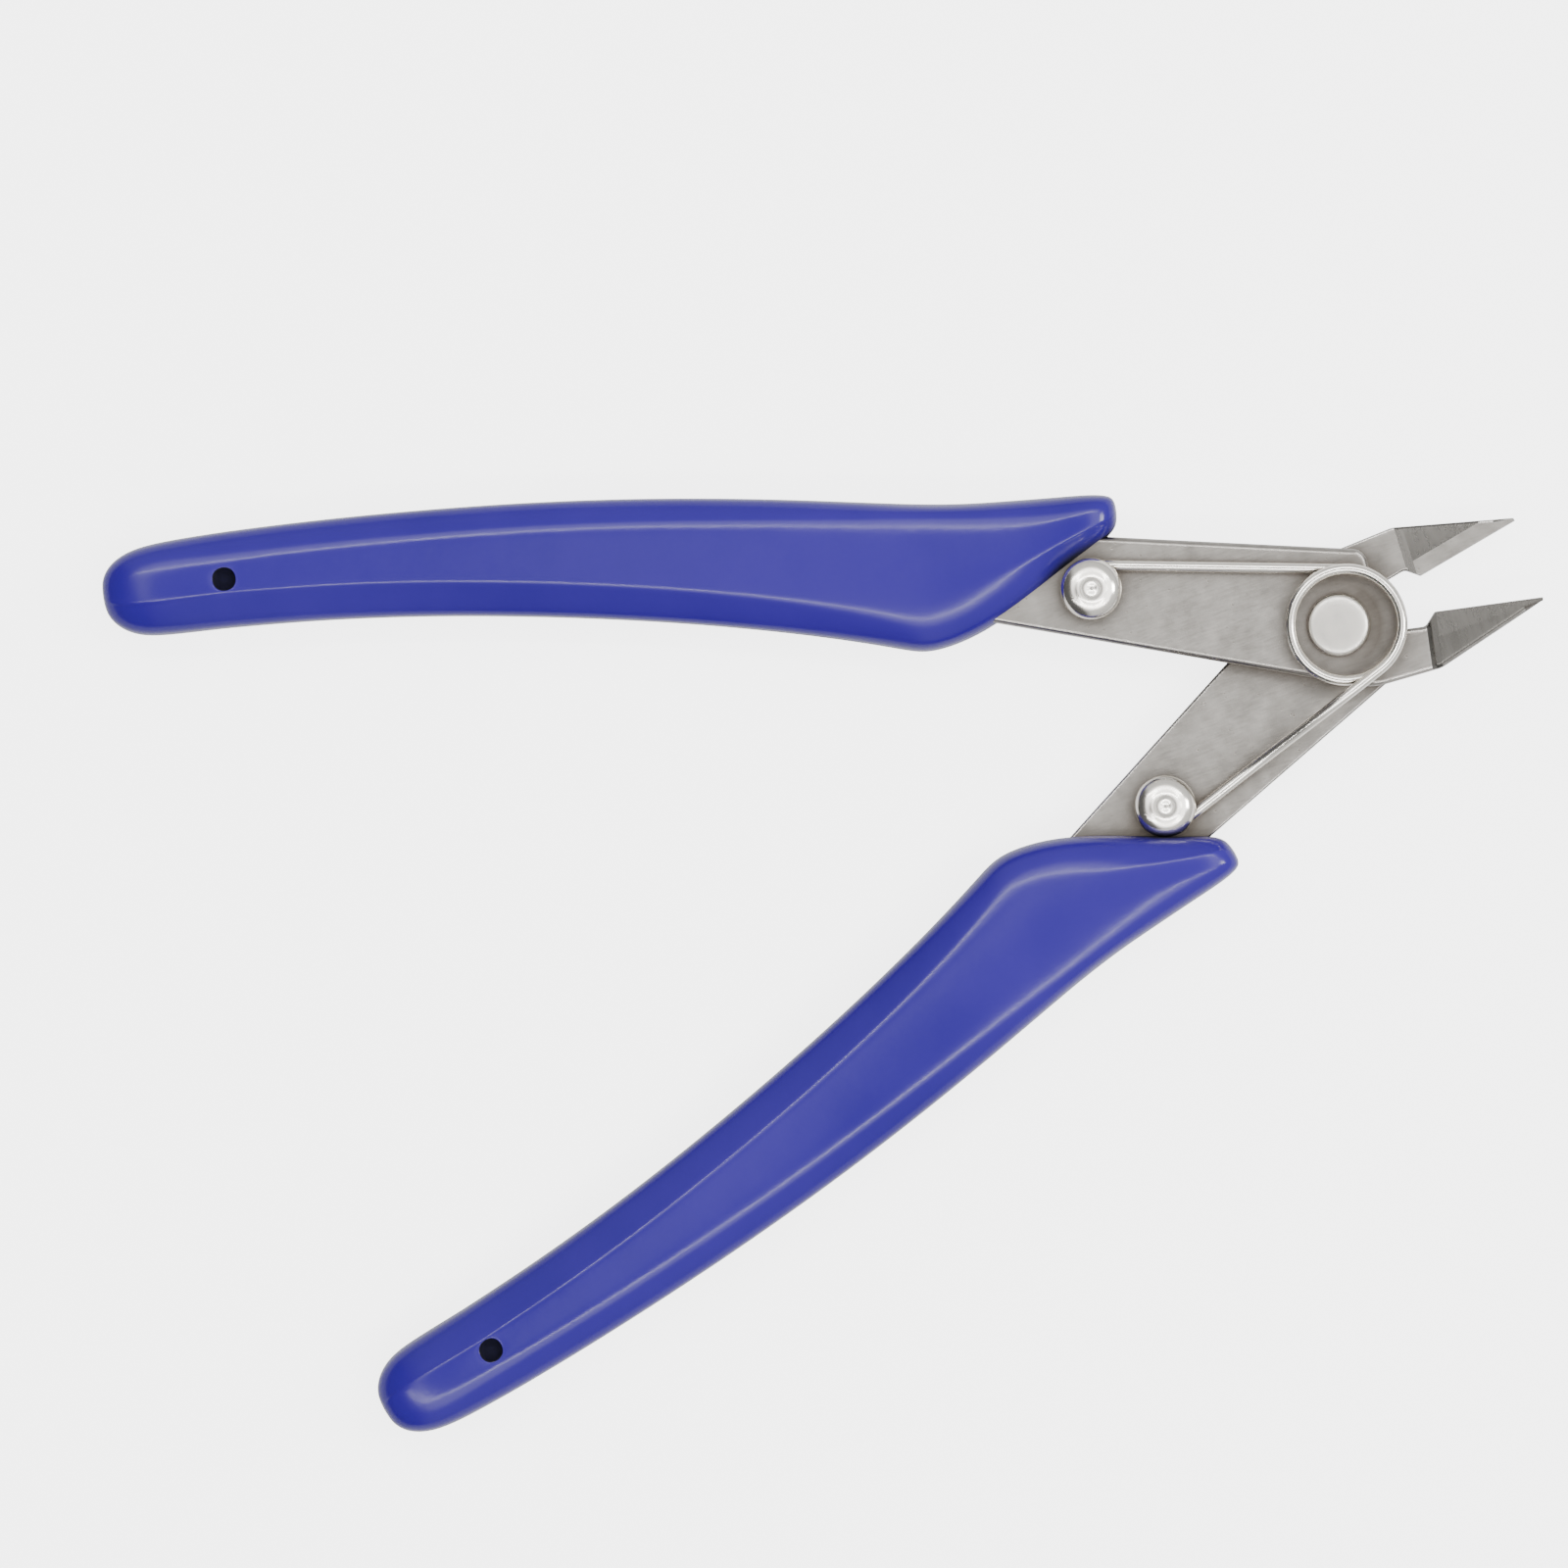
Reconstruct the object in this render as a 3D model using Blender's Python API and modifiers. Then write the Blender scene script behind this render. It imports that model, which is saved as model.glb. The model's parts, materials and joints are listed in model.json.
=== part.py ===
"""Flush cutter for electronics work: two riveted plates that shear past each other.

One stamped plate serves for both halves: the front half shows its outer face upwards, and
the rear half is the same plate turned over. Each has a moulded grip over its tang and a
headed post, and a wire spring round the pivot rivet pushes the two posts apart.

Frame: metres, +X towards the jaws, +Z up from the table, origin at the bottom centre of the
open cutter. A half is drawn closed, about the pivot: its cutting edge lies on the X axis,
its handle on the +Y side and its joint plane at z = 0. All other numbers are millimetres.
"""
import bpy
import bmesh
from math import atan2, ceil, cos, pi, radians, sin, tan
from mathutils import Matrix, Vector

MM = 0.001

# Where the pivot stands, and how far each half is turned open from the closed tool.
PIVOT = (43.77, 0.0, 4.2)
HALF_OPENING = radians(11.3)

# Plates.
PLATE_THICKNESS = 2.2
PLATE_GAP = 0.3
PLATE_INNER = PLATE_GAP / 2
PLATE_OUTER = PLATE_INNER + PLATE_THICKNESS
BOSS_RADIUS = 6.0
TIP_X = 18.9
HEEL_X = 9.0
THROAT_Y = -1.2
FACET_STEP = 0.15
TIP_THICKNESS = 1.1
RELIEF_DEPTH = 0.25
LAND_WIDTH = 1.2

# Pieces that touch keep this much room between them.
CLEARANCE = 0.3
HOLE_CLEARANCE = 0.2

# Grips.
GRIP_THICKNESS = 8.4
GRIP_EDGE = 1.8
PIN_HOLE = (-99.9, 17.9)
PIN_HOLE_RADIUS = 1.05

# Pivot rivet.
RIVET_RADIUS = 1.9
RIVET_HEAD_RADIUS = 2.85
RIVET_HEAD_HEIGHT = 0.6
RIVET_HEAD_CHAMFER = 0.15

# Spring and the posts that hold its ends.
WIRE_RADIUS = 0.475
COIL_RADIUS = 5.08
COIL_CENTRE = (0.6, -0.2)
COIL_RISE_PER_TURN = 1.05
LEG_ANGLE = radians(161.0)
POST_PLACE = (-21.93, 6.3)
POST_RADIUS = 1.4
POST_HEAD_RADIUS = 2.8
POST_HEAD_HEIGHT = 1.4
HOOK_RADIUS = POST_RADIUS + WIRE_RADIUS + CLEARANCE
HOOK_TURN = radians(150.0)

TURNED_STEPS = 40

GRIP_CORNERS = [
    (-17.8, 14.5, 1.9),
    (-32.0, 15.45, 60.0),
    (-52.0, 18.75, 200.0),
    (-74.0, 21.45, 200.0),
    (-95.0, 22.35, 200.0),
    (-111.6, 21.9, 4.0),
    (-111.6, 13.6, 4.0),
    (-95.0, 13.45, 120.0),
    (-76.0, 11.5, 160.0),
    (-56.0, 7.6, 160.0),
    (-38.3, 2.4, 2.6),
    (-31.2, 4.1, 12.0),
    (-19.0, 11.3, 2.2),
]


def clear_scene():
    for item in list(bpy.data.objects):
        bpy.data.objects.remove(item, do_unlink=True)


def collection(name):
    group = bpy.data.collections.new(name)
    bpy.context.scene.collection.children.link(group)
    return group


def finish(name, colour, roughness, metallic):
    material = bpy.data.materials.new(name)
    material.use_nodes = True
    shader = material.node_tree.nodes["Principled BSDF"]
    shader.inputs["Base Color"].default_value = (*colour, 1.0)
    shader.inputs["Roughness"].default_value = roughness
    shader.inputs["Metallic"].default_value = metallic
    return material


def arc(centre, radius, start, end, step=radians(9.0)):
    """Points from one angle to the other about a centre, both ends included."""
    count = max(2, ceil(abs(end - start) / step))
    angles = [start + (end - start) * i / count for i in range(count + 1)]
    return [(centre[0] + radius * cos(a), centre[1] + radius * sin(a)) for a in angles]


def rounded(corners):
    """Outline through (x, y, radius) corners, each turned with an arc of its radius."""
    points = []
    for i, (x, y, radius) in enumerate(corners):
        here = Vector((x, y))
        back = (Vector(corners[i - 1][:2]) - here).normalized()
        ahead = (Vector(corners[(i + 1) % len(corners)][:2]) - here).normalized()
        if radius == 0:
            points.append((x, y))
            continue
        half_angle = back.angle(ahead) / 2
        reach = radius / tan(half_angle)
        centre = here + (back + ahead).normalized() * radius / sin(half_angle)
        first = here + back * reach - centre
        last = here + ahead * reach - centre
        start = atan2(first.y, first.x)
        turn = (atan2(last.y, last.x) - start + pi) % (2 * pi) - pi
        points += arc(centre, radius, start, start + turn)
    return points


def drawn_in(corners, amount):
    """The same anticlockwise corners with every side moved in by the amount."""
    moved = []
    for i, (x, y, radius) in enumerate(corners):
        here = Vector((x, y))
        before = (here - Vector(corners[i - 1][:2])).normalized()
        after = (Vector(corners[(i + 1) % len(corners)][:2]) - here).normalized()
        side_before = Vector((-before.y, before.x))
        side_after = Vector((-after.y, after.x))
        place = here + (side_before + side_after) * amount / (1 + side_before.dot(side_after))
        turns_left = before.cross(after) > 0
        moved.append((place.x, place.y, radius - amount if turns_left else radius + amount))
    return moved


def curve_data(name, points, dimensions, cyclic):
    curve = bpy.data.curves.new(name, "CURVE")
    curve.dimensions = dimensions
    spline = curve.splines.new("POLY")
    spline.points.add(len(points) - 1)
    for place, point in zip(points, spline.points):
        height = place[2] if len(place) > 2 else 0.0
        point.co = (place[0] * MM, place[1] * MM, height * MM, 1.0)
    spline.use_cyclic_u = cyclic
    return curve


def meshed(source, group, name):
    """A welded mesh object in place of a curve or of an object with modifiers."""
    bpy.context.view_layer.update()
    depsgraph = bpy.context.evaluated_depsgraph_get()
    mesh = bpy.data.meshes.new_from_object(source.evaluated_get(depsgraph))
    mesh.name = name
    welded = bmesh.new()
    welded.from_mesh(mesh)
    bmesh.ops.remove_doubles(welded, verts=welded.verts, dist=0.000001)
    welded.to_mesh(mesh)
    welded.free()
    made = bpy.data.objects.new(name, mesh)
    made.matrix_world = source.matrix_world
    group.objects.link(made)
    bpy.data.objects.remove(source, do_unlink=True)
    return made


def slab(name, outline, bottom, top, group, edge=0.0):
    """A flat plate with the outline, its rims rounded outwards by the edge radius."""
    curve = curve_data(name, outline, "2D", True)
    curve.fill_mode = "BOTH"
    curve.extrude = ((top - bottom) / 2 - edge) * MM
    curve.bevel_depth = edge * MM
    curve.bevel_resolution = 3
    drawn = bpy.data.objects.new(name + "_outline", curve)
    drawn.location.z = (bottom + top) / 2 * MM
    group.objects.link(drawn)
    return meshed(drawn, group, name)


def turned(name, profile, group, material):
    """A solid of revolution about Z, from (radius, height) points that run top to bottom."""
    mesh = bpy.data.meshes.new(name)
    places = [(radius * MM, 0.0, height * MM) for radius, height in profile]
    mesh.from_pydata(places, [(i, i + 1) for i in range(len(places) - 1)], [])
    made = bpy.data.objects.new(name, mesh)
    group.objects.link(made)
    screw = made.modifiers.new("turn", "SCREW")
    screw.steps = TURNED_STEPS
    screw.render_steps = TURNED_STEPS
    screw.use_merge_vertices = True
    screw.merge_threshold = 0.000001
    screw.use_smooth_shade = True
    mesh.materials.append(material)
    return made


def as_cutter(made, group):
    for holder in list(made.users_collection):
        holder.objects.unlink(made)
    group.objects.link(made)
    made.hide_render = True
    made.display_type = "WIRE"
    return made


def cut(target, cutters, group, name):
    for i, cutter in enumerate(cutters):
        step = target.modifiers.new(f"cut_{i}", "BOOLEAN")
        step.operation = "DIFFERENCE"
        step.solver = "EXACT"
        step.object = cutter
    return meshed(target, group, name)


def round_cutter(name, place, radius, bottom, top, group):
    bpy.ops.mesh.primitive_cylinder_add(vertices=TURNED_STEPS, radius=radius * MM,
                                        depth=(top - bottom) * MM)
    made = bpy.context.object
    made.name = name
    made.location = Vector((place[0], place[1], (bottom + top) / 2)) * MM
    return as_cutter(made, group)


def tang_corners(grow):
    """The plate's handle end, from the grip's tail to just behind the post."""
    return [
        (-104.5 - grow, 16.7 - grow, 1.2),
        (-50.0, 10.5 - grow, 60.0),
        (-10.0, -2.14 - grow, 0.0),
        (-10.0, 9.0 + grow, 0.0),
        (-45.0, 15.55 + grow, 60.0),
        (-104.5 - grow, 20.0 + grow, 1.2),
    ]


def plate_outline():
    """The whole stamping: tang, boss, neck and jaw, anticlockwise."""
    tang = tang_corners(0.0)
    jaw = [
        (2.4, -6.1, 5.0),
        (8.9, -5.15, 2.0),
        (TIP_X, -0.3, 0.1),
        (TIP_X, 0.0, 0.0),
        (HEEL_X, 0.0, 0.0),
        (HEEL_X - 1.0, THROAT_Y, 0.6),
    ]
    boss_start = atan2(THROAT_Y, (BOSS_RADIUS**2 - THROAT_Y**2) ** 0.5)
    boss_end = radians(54.5)
    boss = [(x, y, 0.0) for x, y in arc((0.0, 0.0), BOSS_RADIUS, boss_start, boss_end)]
    shoulder = [(3.3, 6.5, 1.3)]
    return rounded(tang[:2] + jaw + boss + shoulder + tang[4:])


def facet_cutter(group):
    """Grinds the jaw's outer face away towards the tip."""
    length = TIP_X - HEEL_X + 0.5
    run = Vector((length, FACET_STEP + TIP_THICKNESS - PLATE_THICKNESS))
    slope = atan2(-run.y, run.x)
    bpy.ops.mesh.primitive_cube_add(size=1.0)
    made = bpy.context.object
    made.name = "facet_cutter"
    made.data.transform(Matrix.Diagonal((20.0 * MM, 12.0 * MM, 4.0 * MM, 1.0)))
    made.data.transform(Matrix.Translation(Vector((10.0, 0.0, 2.0)) * MM))
    made.rotation_euler.y = slope
    made.location = Vector((HEEL_X - 0.5, 0.0, PLATE_OUTER - FACET_STEP)) * MM
    return as_cutter(made, group)


def relief_cutter(group):
    """Hollows the jaw's inner face and leaves a land along the cutting edge."""
    outline = [(9.2, -6.0), (8.0, -LAND_WIDTH), (TIP_X - 1.6, -LAND_WIDTH), (TIP_X, -6.0)]
    made = slab("relief_cutter", outline, PLATE_INNER - 1.0, PLATE_INNER + RELIEF_DEPTH, group)
    return as_cutter(made, group)


def plate_pattern(parts, cutters):
    blank = slab("plate_blank", plate_outline(), PLATE_INNER, PLATE_OUTER, parts)
    tools = [
        round_cutter("pivot_hole", (0.0, 0.0), RIVET_RADIUS + HOLE_CLEARANCE, -1.0, 4.0, cutters),
        round_cutter("post_hole", POST_PLACE, POST_RADIUS + HOLE_CLEARANCE, -1.0, 4.0, cutters),
        facet_cutter(cutters),
        relief_cutter(cutters),
    ]
    return cut(blank, tools, parts, "plate")


def grip_pattern(parts, cutters):
    core = rounded(drawn_in(GRIP_CORNERS, GRIP_EDGE))
    half = GRIP_THICKNESS / 2
    blank = slab("grip_blank", core, -half, half, parts, GRIP_EDGE)
    socket = slab("tang_socket", rounded(tang_corners(CLEARANCE)), PLATE_INNER - CLEARANCE,
                  PLATE_OUTER + CLEARANCE, cutters)
    tools = [
        as_cutter(socket, cutters),
        round_cutter("pin_hole", PIN_HOLE, PIN_HOLE_RADIUS, -half - 1.0, half + 1.0, cutters),
    ]
    return cut(blank, tools, parts, "grip")


def shade(mesh):
    mesh.shade_smooth()
    mesh.set_sharp_from_angle(angle=radians(30.0))


def half_frame(name, turned_over, angle, group):
    """An empty on the pivot that carries one half's pieces."""
    frame = bpy.data.objects.new(name, None)
    frame.location = Vector(PIVOT) * MM
    frame.rotation_euler = (pi if turned_over else 0.0, 0.0, angle)
    group.objects.link(frame)
    return frame


def placed(name, pattern, frame, material, group):
    """A copy of a finished pattern piece, carried by one half's empty."""
    mesh = pattern.data.copy()
    mesh.transform(pattern.matrix_world)
    mesh.materials.clear()
    mesh.materials.append(material)
    shade(mesh)
    made = bpy.data.objects.new(name, mesh)
    made.parent = frame
    group.objects.link(made)


def pivot_rivet(frame, group, material):
    top = PLATE_OUTER + HOLE_CLEARANCE + RIVET_HEAD_HEIGHT
    under = PLATE_OUTER + HOLE_CLEARANCE
    rim = RIVET_HEAD_RADIUS - RIVET_HEAD_CHAMFER
    upper = [(0.0, top), (rim, top), (RIVET_HEAD_RADIUS, top - RIVET_HEAD_CHAMFER),
             (RIVET_HEAD_RADIUS, under), (RIVET_RADIUS, under)]
    lower = [(radius, -height) for radius, height in reversed(upper)]
    made = turned("pivot_rivet", upper + lower, group, material)
    made.parent = frame


def post_profile():
    """A domed head over a shank; the plate's face is at height 0."""
    under = 2 * WIRE_RADIUS + 2 * CLEARANCE
    rim = under + 0.45
    dome = [(POST_HEAD_RADIUS * sin(radians(a)), rim + (POST_HEAD_HEIGHT - 0.45) * cos(radians(a)))
            for a in range(0, 91, 15)]
    return dome + [(POST_HEAD_RADIUS, under), (POST_RADIUS, under),
                   (POST_RADIUS, 0.1 - PLATE_THICKNESS), (0.0, 0.1 - PLATE_THICKNESS)]


def spring_post(name, frame, turned_over, group, material):
    made = turned(name, post_profile(), group, material)
    face = PLATE_INNER if turned_over else PLATE_OUTER
    made.location = Vector((POST_PLACE[0], POST_PLACE[1], face)) * MM
    made.rotation_euler.x = pi if turned_over else 0.0
    made.parent = frame


def post_centre(side):
    """Where a post stands about the pivot when the cutter is open; side is 1 or -1 in Y."""
    x, y = POST_PLACE
    c, s = cos(HALF_OPENING), sin(HALF_OPENING)
    return (x * c + y * s, side * (y * c - x * s))


def spring_route():
    """Hook, leg on the front plate, coil, leg down to the rear plate, hook."""
    leave = LEG_ANGLE - pi / 2
    turn = 2 * leave + 2 * pi
    low = PLATE_OUTER + CLEARANCE + WIRE_RADIUS
    high = low + COIL_RISE_PER_TURN * turn / (2 * pi)
    rear = -PLATE_INNER + CLEARANCE + WIRE_RADIUS
    front_hook = [(x, y, low) for x, y in
                  arc(post_centre(1), HOOK_RADIUS, leave + HOOK_TURN, leave, radians(15.0))]
    rear_hook = [(x, y, rear) for x, y in
                 arc(post_centre(-1), HOOK_RADIUS, -leave, -leave - HOOK_TURN, radians(15.0))]
    ring = arc(COIL_CENTRE, COIL_RADIUS, leave, leave - turn, radians(12.0))
    coil = [(x, y, low + (high - low) * i / (len(ring) - 1)) for i, (x, y) in enumerate(ring)]
    front_leg = between(front_hook[-1], coil[0], 6, lambda t: low)
    rear_leg = between(coil[-1], rear_hook[0], 12, lambda t: fall(t, high, rear))
    return front_hook + front_leg + coil + rear_leg + rear_hook


def between(first, last, count, height):
    """Points strictly between two places, at the height given along the way."""
    shares = [i / count for i in range(1, count)]
    return [(first[0] + (last[0] - first[0]) * t, first[1] + (last[1] - first[1]) * t, height(t))
            for t in shares]


def fall(share, high, low):
    """A smooth drop between the plate's edge and the post."""
    t = min(max((share - 0.12) / 0.6, 0.0), 1.0)
    return high + (low - high) * t * t * (3 - 2 * t)


def return_spring(group, material):
    curve = curve_data("return_spring", spring_route(), "3D", False)
    curve.bevel_depth = WIRE_RADIUS * MM
    curve.bevel_resolution = 2
    curve.use_fill_caps = True
    curve.materials.append(material)
    made = bpy.data.objects.new("return_spring", curve)
    made.location = Vector(PIVOT) * MM
    group.objects.link(made)


def main():
    clear_scene()
    parts = collection("flush_cutter")
    cutters = collection("cutters")
    steel = finish("satin_steel", (0.40, 0.385, 0.36), 0.38, 1.0)
    bright = finish("nickel_plate", (0.80, 0.77, 0.70), 0.2, 1.0)
    wire = finish("spring_wire", (0.72, 0.69, 0.62), 0.25, 1.0)
    vinyl = finish("blue_violet_vinyl", (0.07, 0.065, 0.36), 0.35, 0.0)

    plate = plate_pattern(parts, cutters)
    grip = grip_pattern(parts, cutters)
    front = half_frame("front_half", False, -HALF_OPENING, parts)
    rear = half_frame("rear_half", True, HALF_OPENING, parts)
    placed("front_plate", plate, front, steel, parts)
    placed("rear_plate", plate, rear, steel, parts)
    placed("upper_grip", grip, front, vinyl, parts)
    placed("lower_grip", grip, rear, vinyl, parts)
    bpy.data.objects.remove(plate, do_unlink=True)
    bpy.data.objects.remove(grip, do_unlink=True)
    pivot_rivet(front, parts, bright)
    spring_post("front_spring_post", front, False, parts, bright)
    spring_post("rear_spring_post", rear, True, parts, bright)
    return_spring(parts, wire)


main()
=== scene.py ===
import json
from math import ceil, cos, pi, radians, sin

import bmesh
import bpy
from mathutils import Matrix, Vector


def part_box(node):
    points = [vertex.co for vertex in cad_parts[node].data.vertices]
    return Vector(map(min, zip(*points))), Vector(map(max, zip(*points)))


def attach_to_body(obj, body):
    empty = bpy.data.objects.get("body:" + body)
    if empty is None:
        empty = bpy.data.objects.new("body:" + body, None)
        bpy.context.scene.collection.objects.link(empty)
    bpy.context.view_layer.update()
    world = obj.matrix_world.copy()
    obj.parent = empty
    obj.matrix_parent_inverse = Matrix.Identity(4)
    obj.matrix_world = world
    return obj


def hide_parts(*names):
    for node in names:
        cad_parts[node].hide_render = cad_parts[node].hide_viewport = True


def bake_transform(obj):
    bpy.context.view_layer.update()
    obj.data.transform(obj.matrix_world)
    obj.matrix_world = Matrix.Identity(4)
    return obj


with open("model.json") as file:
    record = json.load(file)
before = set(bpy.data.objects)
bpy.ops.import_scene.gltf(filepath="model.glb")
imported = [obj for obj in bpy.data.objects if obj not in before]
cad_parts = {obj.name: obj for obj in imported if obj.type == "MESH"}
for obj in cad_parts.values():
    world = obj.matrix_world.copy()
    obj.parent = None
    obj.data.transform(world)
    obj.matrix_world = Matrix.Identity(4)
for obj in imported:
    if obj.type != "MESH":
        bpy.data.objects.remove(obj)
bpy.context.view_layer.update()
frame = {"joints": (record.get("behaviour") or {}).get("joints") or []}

# Lengths are millimetres from the pivot, in each half's own closed position: jaw along +X,
# handle on the +Y side, joint plane at z = 0. halfMatrix puts a half where it lies open.
mm = 0.001
pivot = Vector(frame["joints"][0]["pos_m"])
openAngle = radians(11.3)
halves = {
    "front": {"body": "front_half", "turn": -openAngle, "over": 0.0},
    "rear": {"body": "rear_half", "turn": openAngle, "over": pi},
}


def halfMatrix(side):
    half = halves[side]
    turned = Matrix.Rotation(half["turn"], 4, "Z") @ Matrix.Rotation(half["over"], 4, "X")
    return Matrix.Translation(pivot) @ turned @ Matrix.Scale(mm, 4)


def openMatrix():   # for what is drawn as the cutter lies open
    return Matrix.Translation(pivot) @ Matrix.Scale(mm, 4)


def pushRing(bm, ring, places):   # extrudes a ring of vertices to new places, in order
    edges = [bm.edges.get((ring[i - 1], ring[i])) for i in range(len(ring))]
    grown = bmesh.ops.extrude_edge_only(bm, edges=edges)["geom"]
    fresh = {g for g in grown if isinstance(g, bmesh.types.BMVert)}
    moved = []
    for old, place in zip(ring, places):
        vert = next(e.other_vert(old) for e in old.link_edges if e.other_vert(old) in fresh)
        vert.co = place
        moved.append(vert)
    return moved


def startRing(bm, places):
    ring = bmesh.ops.create_circle(bm, segments=len(places), radius=1.0)["verts"]
    for vert, place in zip(ring, places):
        vert.co = place
    return ring


def capRing(bm, ring):
    return bmesh.ops.contextual_create(bm, geom=ring)["faces"]


def makePiece(name, bm, matrix, material, sharp=30.0):
    bmesh.ops.recalc_face_normals(bm, faces=bm.faces)
    for face in bm.faces:
        face.smooth = True
    for edge in bm.edges:   # a crease is marked as a seam while the piece is being made
        edge.smooth = not edge.seam and edge.calc_face_angle(0.0) < radians(sharp)
        edge.seam = False
    mesh = bpy.data.meshes.new(name)
    bm.to_mesh(mesh)
    bm.free()
    mesh.transform(matrix)
    mesh.materials.append(material)
    piece = bpy.data.objects.new(name, mesh)
    bpy.context.scene.collection.objects.link(piece)
    return piece


def weighted(piece):   # keeps the broad flats flat beside their rounded edges
    normals = piece.modifiers.new("flats", "WEIGHTED_NORMAL")
    normals.keep_sharp = True
    normals.weight = 80
    return piece


def smoothed(piece, levels):
    cage = piece.modifiers.new("smooth", "SUBSURF")
    cage.levels = levels
    cage.render_levels = levels
    return piece


def attach(piece, side, node):
    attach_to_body(piece, halves[side]["body"])
    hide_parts(node)
    print("made", piece.name)


def newMaterial(name, roughness, metallic):
    material = bpy.data.materials.new(name)
    material.use_nodes = True
    shader = material.node_tree.nodes["Principled BSDF"]
    shader.inputs["Roughness"].default_value = roughness
    shader.inputs["Metallic"].default_value = metallic
    return material, shader


def addNode(material, kind, values=None, **settings):
    made = material.node_tree.nodes.new(kind)
    for key, value in settings.items():
        setattr(made, key, value)
    for key, value in (values or {}).items():
        made.inputs[key].default_value = value
    return made


def join(material, *ends):
    for i in range(0, len(ends), 2):
        material.node_tree.links.new(ends[i], ends[i + 1])


def placeOn(material, location=(0, 0, 0), turn=0.0, scale=(1, 1, 1)):   # the pattern's own coordinates
    coordinate = addNode(material, "ShaderNodeTexCoord")
    mapping = addNode(material, "ShaderNodeMapping", {
        "Location": location, "Rotation": (0, 0, turn), "Scale": scale})
    join(material, coordinate.outputs["Object"], mapping.inputs["Vector"])
    return mapping.outputs["Vector"]


def noisePattern(material, vector, scale, detail, roughness=0.5):
    pattern = addNode(material, "ShaderNodeTexNoise", {
        "Scale": scale, "Detail": detail, "Roughness": roughness})
    join(material, vector, pattern.inputs["Vector"])
    return pattern.outputs["Fac"]


def rangeOf(material, value, low, high, toLow, toHigh):
    ranged = addNode(material, "ShaderNodeMapRange", {
        "From Min": low, "From Max": high, "To Min": toLow, "To Max": toHigh})
    join(material, value, ranged.inputs["Value"])
    return ranged.outputs["Result"]


def mathOf(material, operation, first, second):
    made = addNode(material, "ShaderNodeMath", operation=operation)
    for socket, value in zip(made.inputs, (first, second)):
        if isinstance(value, (int, float)):
            socket.default_value = value
        else:
            join(material, value, socket)
    return made.outputs["Value"]


def mixColours(material, amount, first, second, blend="MIX"):
    mix = addNode(material, "ShaderNodeMix", data_type="RGBA", blend_type=blend)
    join(material, amount, mix.inputs[0])
    for socket, colour in ((mix.inputs[6], first), (mix.inputs[7], second)):
        if isinstance(colour, tuple):
            socket.default_value = (*colour, 1.0)
        else:
            join(material, colour, socket)
    return mix.outputs[2]


def edgeMask(material, radius):   # 1 on edges and 0 on flats
    bevel = addNode(material, "ShaderNodeBevel", {"Radius": radius}, samples=6)
    geometry = addNode(material, "ShaderNodeNewGeometry")
    dot = addNode(material, "ShaderNodeVectorMath", operation="DOT_PRODUCT")
    join(material, bevel.outputs["Normal"], dot.inputs[0], geometry.outputs["Normal"], dot.inputs[1])
    return rangeOf(material, dot.outputs["Value"], 1.0, 0.93, 0.0, 1.0)


def bumpOf(material, shader, height, distance, strength=1.0, under=None):
    bump = addNode(material, "ShaderNodeBump", {"Strength": strength, "Distance": distance})
    join(material, height, bump.inputs["Height"])
    if under:
        join(material, under, bump.inputs["Normal"])
    join(material, bump.outputs["Normal"], shader.inputs["Normal"])
    return bump.outputs["Normal"]


def paintedShadeMask(material, reach, most, dark=0.35):   # painted shade, most in holes and where pieces meet, 0 in the open
    hollow = addNode(material, "ShaderNodeAmbientOcclusion", {"Distance": reach}, samples=8)
    return rangeOf(material, hollow.outputs["AO"], dark, 0.96, most, 0.0)


def coilShadow(material):   # painted shadow of the spring's coil on the plate inside it, darkest on the jaws' side
    shadowSpan = {"rim": (0.0045, 0.0053), "across": (-0.003, 0.0045), "strength": (0.1, 0.8)}
    place = placeOn(material, location=tuple(-c for c in pivot))
    away = addNode(material, "ShaderNodeVectorMath", operation="LENGTH")
    parts = addNode(material, "ShaderNodeSeparateXYZ")
    join(material, place, away.inputs[0], place, parts.inputs[0])
    inside = rangeOf(material, away.outputs["Value"], *shadowSpan["rim"], 1.0, 0.0)
    forward = rangeOf(material, parts.outputs["X"], *shadowSpan["across"], *shadowSpan["strength"])
    return mathOf(material, "MULTIPLY", inside, forward)


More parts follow.
